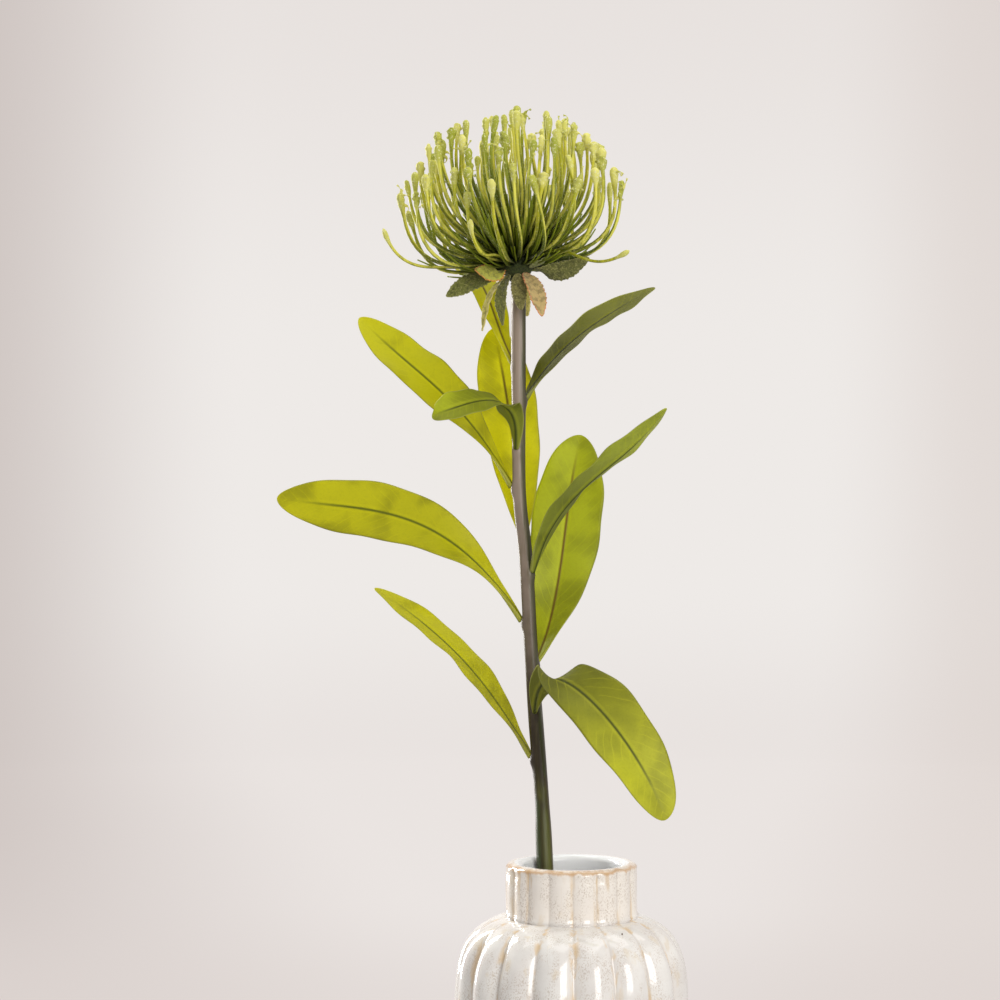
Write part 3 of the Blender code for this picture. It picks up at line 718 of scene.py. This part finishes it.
def make_vase():
    """The outline carried round the axis, less the grooves.

    Across one rib the share runs from 0 to 1, and the groove is the square of |2 share - 1|, which
    makes each rib a pillow between two sharp valleys.  One groove faces the front.
    """
    radius, height = (row[:, None] for row in vase_outline())
    highest = int(np.argmax(height))
    outside = (np.arange(len(height)) <= highest)[:, None] & (radius > 0.9 * FOOT_RADIUS * (height < 1 * MM))
    turn = full_turn(RIB_COUNT * POINTS_PER_RIB)[None]
    across = (turn * RIB_COUNT / (2 * math.pi)) % 1.0
    groove = np.abs(2.0 * across - 1.0)
    waver = 0.12 * MM * np.sin(3.0 * turn + 40.0 * height / VASE_HEIGHT) * smoothstep(0, 0.03, height)
    reach = radius + outside * (waver - groove_depth(height) * groove ** 2)
    rings = np.stack((reach * np.sin(turn), -reach * np.cos(turn), height + 0.0 * turn), axis=-1)
    attributes = {"groove": [groove + 0.0 * height], "outside": [outside.astype(float)]}
    add_piece("ribbed_vase", [rings[None]], attributes, glaze(), "glaze", "vase")


# Stem and receptacle -----------------------------------------------------------------------------

def stem_rows(per_span):
    """x, y, z and radius along the whole stem, up to just under the receptacle."""
    top = head_to_world(np.array((0.0, 0.0, RECEPTACLE_FOOT - 2 * GAP)))
    return smooth_through(np.vstack((np.array(STEM) * MM, (*top, 3.8 * MM))), per_span)


def stem_at(height):
    """The stem's middle and its radius at a height."""
    rows = stem_rows(4)
    values = [np.interp(height, rows[:, 2], rows[:, part]) for part in range(4)]
    return np.array(values[:3]), values[3]


def make_stem():
    """A tube whose radius swells in a small cushion below each leaf's stalk.

    Each cushion is the product of two bells, one of the height and one of the heading.
    """
    rows = stem_rows(28)
    height = rows[:, 2][:, None]
    turn = full_turn(STEM_SIDES)[None]
    radius = rows[:, 3][:, None] * (1.0 + 0.025 * np.sin(2 * turn + 60 * height)
                                    + 0.02 * np.sin(5 * turn + 25 * height))
    for leaf_height, leaf_heading, *_ in LEAVES:
        away = np.cos(turn - math.radians(leaf_heading))
        cushion = bump_at(1.0, 0.35, away) * bump_at((leaf_height - 1.5) * MM, 3.0 * MM, height)
        radius = radius + 1.1 * MM * cushion
    rings = rings_round(rows[:, :3], radius, STEM_SIDES, np.array((1.0, 0.0, 0.0)))
    twist = math.pi * (1.0 - smoothstep(0.225, 0.245, height))
    attributes = {
        "green_side": [0.5 + 0.5 * np.cos(turn - twist)],
        # How far each point faces the front; the stem's painted shade darkens away from it.
        "front": [0.5 - 0.5 * np.sin(turn + 0.25) + 0.0 * height],
    }
    add_piece("long_stem", [rings[None]], attributes, stem_skin(), "stem", "stem")


def make_receptacle():
    """A ball of radius 1 + small ripples that runs into a cone, all turned about the head's axis."""
    polar = np.linspace(0.04, RECEPTACLE_ROUND_TO, 30)
    cone = np.linspace(0.0, 1.0, 12)[1:]
    start = RECEPTACLE_RADIUS * np.array((math.sin(polar[-1]), math.cos(polar[-1])))
    end = np.array((RECEPTACLE_FOOT_RADIUS, RECEPTACLE_FOOT))
    radius = np.concatenate((RECEPTACLE_RADIUS * np.sin(polar), start[0] + (end - start)[0] * cone))
    height = np.concatenate((RECEPTACLE_RADIUS * np.cos(polar), start[1] + (end - start)[1] * cone))
    turn = full_turn(48)[None]
    ripple = 1.0 + 0.02 * np.sin(13 * turn + 900 * height[:, None])
    reach = radius[::-1, None] * ripple[::-1]
    rings = np.stack((reach * np.cos(turn), reach * np.sin(turn),
                      height[::-1, None] + 0.0 * turn), axis=-1)
    add_piece("receptacle_ball", [head_to_world(rings)[None]], {}, receptacle_skin(), "receptacle",
              "receptacle")


# Styles ------------------------------------------------------------------------------------------

def style_roots():
    """Polar angles and headings of the roots: equal areas of a cap, each turned a golden angle on."""
    index = np.arange(STYLE_COUNT)
    lowest = 1.0 - math.cos(LOWEST_STYLE)
    return np.arccos(1.0 - (index + 0.5) / STYLE_COUNT * lowest), index * GOLDEN_ANGLE


def style_paths():
    """Paths of all the styles, in the head's frame, and the sideways direction of each.

    A path adds equal steps along a direction whose polar angle goes from the root's own to an
    almost upright one.  Seeded amounts vary the lengths, the last lean and a sideways sway, and a
    sine adds a small wobble.
    """
    amounts = [np.random.default_rng((STYLE_SEED, index)).normal(size=3) for index in range(STYLE_COUNT)]
    lengthen, end_lean, sway = np.array(amounts).T[:, :, None]
    polar, heading = (values[:, None] for values in style_roots())
    length = STYLE_LENGTH + STYLE_EXTRA * np.sin(polar) ** 2
    length = length - LENGTH_SPREAD * np.abs(lengthen) * (1.0 + smoothstep(0.8, 1.6, np.abs(lengthen)))
    share = step_middles(STYLE_POINTS)
    bend = smoothstep(0.2, 0.85, share)
    end_polar = np.radians(-2.0 + 5.5 * np.sin(polar) ** 4 + LEAN_SPREAD * end_lean)
    angle = (polar * (1.0 - bend) + end_polar * bend)[..., None]
    outward = level_direction(heading)
    sideways = level_direction(heading + 0.5 * math.pi)
    lean = (SWAY_SPREAD * sway * share)[..., None]
    moves = unit(np.sin(angle) * outward + np.cos(angle) * UP + lean * sideways)
    start = STRIP_RADIUS * polar_direction(polar, heading)
    kink = np.concatenate(((0.0,), smoothstep(0.1, 0.6, share)))[:, None]
    waves = WOBBLE * kink * np.sin(np.linspace(0.0, 9.0, STYLE_POINTS + 1)[:, None]
                                   + np.arange(STYLE_COUNT)[:, None, None] * 2.4)
    return walk(start, moves, length[..., None]) + waves * sideways, sideways


def style_shares():
    """Shares of a style's length for its rings, over three times as close along the club."""
    return np.concatenate((np.linspace(0.0, 0.76, 13, endpoint=False),
                           np.linspace(0.76, CLUB_WIDEST, 12, endpoint=False),
                           CLUB_WIDEST + (1.0 - CLUB_WIDEST) * np.sin(np.linspace(0.0, 1.5, 6))))


def style_thickness(share, club_size, swell_start):
    """A style's radius: a slender shaft with a little waist, then a pear-shaped club.

    The club swells from its start by a power 1.5 of a smooth step up to CLUB_WIDEST, and closes
    from there as a quarter circle.
    """
    shaft = 0.65 + 0.30 * smoothstep(0.0, 0.3, share) - 0.22 * smoothstep(0.7, 0.88, share)
    club = 1.2 * club_size * smoothstep(swell_start, CLUB_WIDEST, share) ** 1.5
    past = np.clip((share - CLUB_WIDEST) / (1.0 - CLUB_WIDEST), 0.0, 1.0)
    return (shaft + club) * MM * np.sqrt(1.02 - past ** 2)


def make_sprigs():
    """Twenty-one sprigs: five styles and the strip that they grow from."""
    material = style_skin()
    paths, sideways = style_paths()
    shares = style_shares()
    chance = np.random.default_rng(STYLE_SEED)
    club_size = 0.65 + 0.85 * chance.uniform(0.0, 1.0, (STYLE_COUNT, 1)) ** 1.6
    swell_start = chance.uniform(0.72, 0.87, (STYLE_COUNT, 1))
    ragged = chance.uniform(0.0, 1.0, (STYLE_COUNT, 1, 1)) ** 3
    tone = chance.uniform(0.0, 1.0, (STYLE_COUNT, 1, 1))
    phase = chance.uniform(0.0, 2 * math.pi, (STYLE_COUNT, 1, 1))
    turn = full_turn(STYLE_SIDES)[None, None]
    along = shares[None, :, None]
    lumps = (np.sin(2 * turn + phase + 45 * along) + np.sin(3 * turn - 2 * phase + 110 * along)
             + np.sin(150 * along + 3 * phase))
    club = smoothstep(0.86, 0.92, along)
    roughness = 1.0 + (0.03 + 0.26 * ragged) * club * lumps
    radius = style_thickness(shares, club_size, swell_start)[..., None] * roughness
    rings = head_to_world(rings_round(at_shares(paths, shares), radius, STYLE_SIDES, sideways))
    polar, heading = style_roots()
    roots = 0.5 * (RECEPTACLE_RADIUS + STRIP_RADIUS) * polar_direction(polar, heading)
    for number in range(SPRIG_COUNT):
        members = np.arange(number, STYLE_COUNT, SPRIG_COUNT)
        strip_path = smooth_through(roots[members], 5)
        strip = rings_round(strip_path, np.full((len(strip_path), 1), 0.75 * MM), 8,
                            unit(strip_path.mean(axis=0)))
        attributes = {
            "along": [along, np.zeros((1, 1, 1))],
            "tone": [tone[members], np.zeros((1, 1, 1))],
            "shaft_highlight": [0.5 + 0.5 * np.cos(turn - phase[members] + 3.0 * along), np.zeros((1, 1, 1))],
        }
        add_piece(f"sprig_{number + 1:02d}", [rings[members], head_to_world(strip)[None]], attributes,
                  material, "style", f"style_sprig_{number + 1:02d}")


def make_strays():
    """Three loose styles that leave the head low down, each with a small club.

    Their rise goes from its first value to the middle one, then to the last, by two smooth steps.
    """
    material = style_skin()
    for name, (heading, rise, middle_rise, end_rise, length) in STRAY_STYLES.items():
        heading = math.radians(heading)
        share = step_middles(STRAY_POINTS)
        angle = np.radians(rise + (middle_rise - rise) * smoothstep(0.0, 0.45, share)
                           + (end_rise - middle_rise) * smoothstep(0.45, 1.0, share))[:, None]
        outward = level_direction(heading)
        moves = np.cos(angle) * outward + np.sin(angle) * UP
        start = (RECEPTACLE_RADIUS + GAP) * polar_direction(STRAY_ROOT, heading)
        path = walk(start, moves, length * MM)
        shares = np.linspace(0.0, 1.0, STRAY_POINTS + 1)
        club = 0.65 * bump_at(0.945, 0.05, shares)
        closing = np.clip(1.0 - smoothstep(0.97, 1.0, shares) ** 2, 0.05, 1)
        radius = (1.3 * STRAY_RADIUS + club * MM) * np.sqrt(closing)
        rings = rings_round(path, radius[:, None], STYLE_SIDES,
                            level_direction(heading + 0.5 * math.pi))
        shaft_highlight = 0.5 + 0.5 * np.cos(full_turn(STYLE_SIDES) - 0.5)
        attributes = {"along": [0.25 + 0.72 * shares[:, None]], "tone": [np.full((1, 1), 0.7)],
                      "shaft_highlight": [shaft_highlight[None]]}
        add_piece(f"{name}_fine", [head_to_world(rings)[None]], attributes, material, "style", name)


def make_threads():
    """Thin threads that fill the foot of the head, each bending upright as the styles do."""
    chance = np.random.default_rng(STYLE_SEED + 1)
    polar = np.radians(chance.uniform(20, 101, (THREAD_COUNT, 1)))
    heading = chance.uniform(0, 2 * math.pi, (THREAD_COUNT, 1))
    length = (14 + 30 * chance.uniform(0.0, 1.0, (THREAD_COUNT, 1)) ** 1.4) * MM
    upright = polar * chance.uniform(0.25, 0.8, (THREAD_COUNT, 1))
    steps = 8
    share = step_middles(steps)
    angle = (polar + (upright - polar) * smoothstep(0.1, 1.0, share))[..., None]
    outward = level_direction(heading)
    moves = np.sin(angle) * outward + np.cos(angle) * UP
    sideways = level_direction(heading + 0.5 * math.pi)
    start = 0.97 * RECEPTACLE_RADIUS * polar_direction(polar, heading)
    paths = walk(start, moves, length[..., None])
    shares = np.linspace(0.0, 1.0, steps + 1)
    radius = np.broadcast_to((0.75 - 0.40 * shares)[:, None] * MM, (THREAD_COUNT, steps + 1, 1))
    rings = head_to_world(rings_round(paths, radius, 4, sideways))
    add_piece("foot_threads", [rings], {"along": [shares[None, :, None]]}, thread_skin(), "style")


def make_scraps():
    """Short curled scraps near the ends of some styles, where the moulded tips have split.

    Each turns in an upright plane of its own by an angle that grows evenly along it.
    """
    chance = np.random.default_rng(STYLE_SEED + 2)
    paths = style_paths()[0]
    ragged = chance.choice(STYLE_COUNT, RAGGED_COUNT, replace=False)
    member = chance.choice(ragged, SCRAP_COUNT)
    place = chance.integers(35, 40, SCRAP_COUNT)
    heading = chance.uniform(0.0, 2 * math.pi, (SCRAP_COUNT, 1))
    length = chance.uniform(3.5, 7.5, (SCRAP_COUNT, 1, 1)) * MM
    steps = 7
    share = step_middles(steps)
    angle = (chance.uniform(-0.4, 1.2, (SCRAP_COUNT, 1))
             + chance.uniform(-4.5, 4.5, (SCRAP_COUNT, 1)) * share)[..., None]
    moves = np.cos(angle) * level_direction(heading) + np.sin(angle) * UP
    curled = walk(paths[member, place][:, None], moves, length)
    across = level_direction(heading + 0.5 * math.pi)
    shares = np.linspace(0.0, 1.0, steps + 1)
    radius = np.broadcast_to((0.75 + 0.35 * np.sin(7 * shares) - 0.35 * shares)[:, None] * MM,
                             (SCRAP_COUNT, steps + 1, 1))
    rings = head_to_world(rings_round(curled, radius, 6, across))
    attributes = {
        "along": [np.full((1, 1, 1), 0.95)],
        "tone": [chance.uniform(0.2, 1.0, (SCRAP_COUNT, 1, 1))],
        "shaft_highlight": [np.full((1, 1, 1), 0.6)],
    }
    add_piece("curled_scraps", [rings], attributes, style_skin(), "style")


# Leaves and bracts -------------------------------------------------------------------------------

def blade_section(count):
    """How far across a blade each point of its section lies, from one edge to the other and back.

    The under side comes first, from 1 to -1, then the upper side; face is -1 on the under side, 1
    on the upper one and 0 on the edges.
    """
    across = np.linspace(1.0, -1.0, count)
    face = np.full(count, -1.0)
    face[[0, -1]] = 0.0
    return np.concatenate((across, -across[1:-1])), np.concatenate((face, -face[1:-1]))


def leaf_tube(row, number):
    """The rings of one leaf, and what its material needs to know.

    The midrib is a cubic curve.  The blade starts with its upper side to the stem and turns until
    it faces the way given for the tip.  Its halves fold up from the midrib, wave at their edges,
    and are widest six tenths of the way along.  The stalk is thicker than the blade.
    """
    height, heading, handle_in, handle_out, tip, width, facing = row[:-1]
    middle, radius = stem_at(height * MM)
    outward = level_direction(math.radians(heading))
    base = middle + outward * (radius + GAP + 0.5 * MM)
    first, second, last = (np.array(point) * MM for point in (handle_in, handle_out, tip))
    t = (1.0 - (1.0 - np.linspace(0.0, 1.0, 130)) ** 1.25)[:, None]
    spine = ((1 - t) ** 3 * base + 3 * (1 - t) ** 2 * t * first + 3 * (1 - t) * t ** 2 * second
             + t ** 3 * last)
    forward = unit(3 * (1 - t) ** 2 * (first - base) + 6 * (1 - t) * t * (second - first)
                   + 3 * t ** 2 * (last - second))
    turn = smoothstep(0.0, 0.45, t)
    up = -outward * (1 - turn) + np.array(facing) * turn
    up = unit(up - dot(up, forward) * forward)
    side = np.cross(forward, up)
    across, face = (values[None] for values in blade_section(25))
    spread = t * (1 - t) ** LEAF_TAPER / LEAF_FULLEST
    ripple = 1.0 + 0.022 * np.sin(26 * t + 3.0 * number + 2.0 * across) * spread
    half = 0.5 * (LEAF_STALK_WIDTH * (1 - 0.7 * t) + width * MM * spread) * ripple
    fold = 0.22 * half * (np.sqrt(across ** 2 + 0.012) - 0.08)
    wave = 0.10 * half * spread * np.sin(2 * math.pi * (1.6 * t + 0.13 * height)
                                         + 1.3 * across) * across ** 2
    crimp = 0.45 * MM * spread * np.sin(30 * t + 2.2 * across + number) * np.abs(across) ** 2
    reach = np.abs(across) * half
    fade = 1.0 - smoothstep(0.7, 1.0, t)
    furrow = -0.45 * MM * bump_at(0.0, 1.0 * MM, reach) * fade * spread
    round_edge = np.sqrt(np.clip(1.0 - np.abs(across) ** 8, 0.0, 1.0))
    keel = (0.5 * bump_at(0.0, 0.9 * MM, reach) * (face < 0) * fade
            + 0.75 * (1.0 - smoothstep(0.0, 0.16, t))) * MM
    thick = face * (0.5 * LEAF_THICKNESS * (1.0 - 0.45 * np.abs(across)) + keel) * round_edge
    lift = (fold + wave + crimp + furrow + thick)[..., None]
    rings = spine[:, None] + side[:, None] * (half * across)[..., None] + up[:, None] * lift
    attributes = {
        "along": [t + 0.0 * across],
        "reach": [reach / MM],
        "margin": [(half - reach) / MM],
        "upper": [0.5 + 0.5 * face + 0.0 * t],
    }
    return rings, attributes


def make_leaves():
    """The ten leaves, numbered as they are listed."""
    for number, row in enumerate(LEAVES, start=1):
        rings, attributes = leaf_tube(row, number)
        skin = leaf_skin(f"leaf_skin_{number:02d}", row[-1])
        add_piece(f"blade_{number:02d}", [rings[None]], attributes, skin, "leaf", f"leaf_{number:02d}")


def bract_tube(row, place, number):
    """The rings of one bract: a pointed scale that bends as it goes and rolls about its length.

    Its rise goes smoothly from the first value to the last, and its edge is frayed by two waves.
    """
    heading, rise, end_rise, length, width, roll = row[:-1]
    heading = math.radians(heading)
    outward = level_direction(heading)
    side = level_direction(heading - 0.5 * math.pi)
    start = place[0] * outward + place[1] * UP
    steps = 40
    share = step_middles(steps)
    angle = np.radians(rise + (end_rise - rise) * smoothstep(0.0, 0.8, share))
    knots = np.linspace(0.0, 1.0, steps + 1)
    reach_out = np.concatenate(((0.0,), np.cumsum(np.cos(angle)))) * length * MM / steps
    climb = np.concatenate(((0.0,), np.cumsum(np.sin(angle)))) * length * MM / steps
    t = np.linspace(0.0, 1.0, 70)
    spine = (start + np.interp(t, knots, reach_out)[:, None] * outward
             + np.interp(t, knots, climb)[:, None] * UP)
    tilt = np.interp(t, share, angle)[:, None]
    up = np.cos(tilt) * UP - np.sin(tilt) * outward
    t = t[:, None]
    across, face = (values[None] for values in blade_section(17))
    fray = 1.0 + 0.05 * np.sin(70 * t + 5 * number) + 0.04 * np.sin(131 * t + 2 * across + number)
    spread = np.clip(np.sin(math.pi * t ** 0.85), 0.0, 1.0) ** 0.65
    half = 0.5 * MM * (0.9 + (width - 0.9) * spread) * fray
    turn = math.radians(roll) * smoothstep(0.0, 0.35, t)
    rolled_side = np.cos(turn) * side + np.sin(turn) * up
    rolled_up = np.cos(turn) * up - np.sin(turn) * side
    curl = 0.20 * half * np.sin(9 * t + number) * across * smoothstep(0.2, 1.0, t)
    pucker = 0.22 * MM * np.sin(31 * t + 3 * across + number) * np.sin(4 * across + number)
    round_edge = np.sqrt(np.clip(1.0 - across ** 8, 0.0, 1.0))
    lift = 0.18 * half * np.abs(across) + curl + pucker + 0.5 * face * BRACT_THICKNESS * round_edge
    rings = (spine[:, None] + rolled_side[:, None] * (half * across)[..., None]
             + rolled_up[:, None] * lift[..., None])
    attributes = {"upper": [0.5 + 0.5 * face + 0.0 * t], "margin": [half * (1 - np.abs(across)) / MM]}
    return head_to_world(rings), attributes


def make_bracts():
    """The upper whorl of seven bracts and the lower one of five."""
    rows = [(row, UPPER_WHORL) for row in UPPER_BRACTS] + [(row, LOWER_WHORL) for row in LOWER_BRACTS]
    for number, (row, place) in enumerate(rows, start=1):
        rings, attributes = bract_tube(row, place, number)
        skin = felt(f"felt_{number:02d}", row[-1])
        add_piece(f"felt_bract_{number:02d}", [rings[None]], attributes, skin, "bract", f"bract_{number:02d}")


# Floor, lights and camera ------------------------------------------------------------------------

def make_backdrop():
    """A round floor that curves up into a wall: a disc, a quarter circle and a cylinder, turned."""
    floor_radius, bend_radius, wall_height = 2.4, 0.6, 2.4
    bend = np.linspace(0.0, 0.5 * math.pi, 16)
    radius = np.concatenate((np.linspace(0.03, floor_radius, 12, endpoint=False),
                             floor_radius + bend_radius * np.sin(bend), (floor_radius + bend_radius,)))
    height = np.concatenate((np.zeros(12), bend_radius * (1.0 - np.cos(bend)), (wall_height,)))
    turn = full_turn(96)
    rings = np.stack((radius[:, None] * np.cos(turn), -radius[:, None] * np.sin(turn),
                      height[:, None] + 0.0 * turn), axis=-1)
    rows, sides = rings.shape[:2]
    corner = np.arange(rows * sides).reshape(rows, sides)
    following = np.roll(corner, -1, axis=1)
    quads = np.stack((corner[:-1], following[:-1], following[1:], corner[1:]), axis=-1).reshape(-1, 4)
    mesh = bpy.data.meshes.new("backdrop")
    mesh.from_pydata(rings.reshape(-1, 3).tolist(), [], [*quads.tolist(), corner[0].tolist()])
    mesh.shade_smooth()
    mesh.materials.append(backdrop_paint())
    backdrop = bpy.data.objects.new("backdrop", mesh)
    bpy.context.scene.collection.objects.link(backdrop)
    backdrop.visible_diffuse = False


def softbox(name, place, target, size, power, colour):
    """A rectangular light that faces a target, unseen itself."""
    light = bpy.data.lights.new(name, "AREA")
    light.shape = "RECTANGLE"
    light.size, light.size_y = size
    light.energy = power
    light.color = colour
    box = bpy.data.objects.new(name, light)
    box.location = place
    box.rotation_euler = (Vector(place) - Vector(target)).to_track_quat("Z", "Y").to_euler()
    box.visible_camera = False
    bpy.context.scene.collection.objects.link(box)


def make_lights():
    """Soft daylight all round, a tall box behind on the left, a window in front on the right, a box above."""
    world = bpy.data.worlds.new("daylight")
    world.use_nodes = True
    sky = world.node_tree.nodes["Background"]
    sky.inputs["Color"].default_value = (1.0, 0.995, 0.985, 1.0)
    sky.inputs["Strength"].default_value = 0.47
    bpy.context.scene.world = world
    softbox("tall_box_left", (-1.05, 1.05, 0.65), (0, 0, 0.35), (0.32, 1.6), 33, (1.0, 0.99, 0.97))
    softbox("window_right", (0.75, -1.35, 0.66), (0, 0, 0.30), (0.80, 0.90), 12.5, (1.0, 0.99, 0.98))
    softbox("top_box", (0.1, 0.2, 1.9), (0, 0, 0.3), (1.8, 1.8), 14, (1.0, 0.99, 0.98))


def make_camera():
    """A long lens at the height of the middle leaves, level and facing the front."""
    camera = bpy.data.cameras.new("camera")
    camera.lens = 90
    camera.sensor_width = 36
    viewer = bpy.data.objects.new("camera", camera)
    viewer.location = (-0.03575, -1.25, 0.381)
    viewer.rotation_euler = (0.5 * math.pi, 0.0, 0.0)
    bpy.context.scene.collection.objects.link(viewer)
    bpy.context.scene.camera = viewer


make_vase()
make_stem()
make_receptacle()
make_sprigs()
make_strays()
make_threads()
make_scraps()
make_leaves()
make_bracts()
make_backdrop()
make_lights()
make_camera()
bpy.context.scene.view_settings.view_transform = "Standard"
